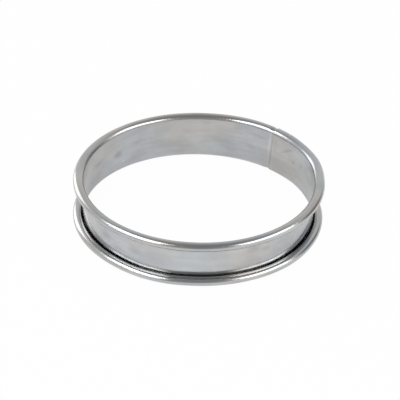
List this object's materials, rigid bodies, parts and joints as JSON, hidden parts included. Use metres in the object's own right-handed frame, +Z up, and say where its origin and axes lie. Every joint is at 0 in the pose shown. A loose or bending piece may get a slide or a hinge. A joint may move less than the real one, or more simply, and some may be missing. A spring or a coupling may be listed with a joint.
{
  "type": "tart ring",
  "caption": "Open hoop of stainless sheet steel with a straight wall, outward rolled edges and a lapped seam, for shaping tart cases on a baking tray.",
  "frame": {"origin": "on the ring's axis, in the plane of the surface that the ring stands on", "axes": "+Z up along the ring's axis; the picture looks along +Y, and the seam is on the far side towards +X"},
  "size_m": [0.1094, 0.1094, 0.0214],
  "materials": {
    "stainless_steel": "satin sheet, brighter on the rolled edges, with faint smudges on the wall"
  },
  "bodies": {
    "root": {"tart_ring": "stainless_steel"}
  },
  "joints": []
}
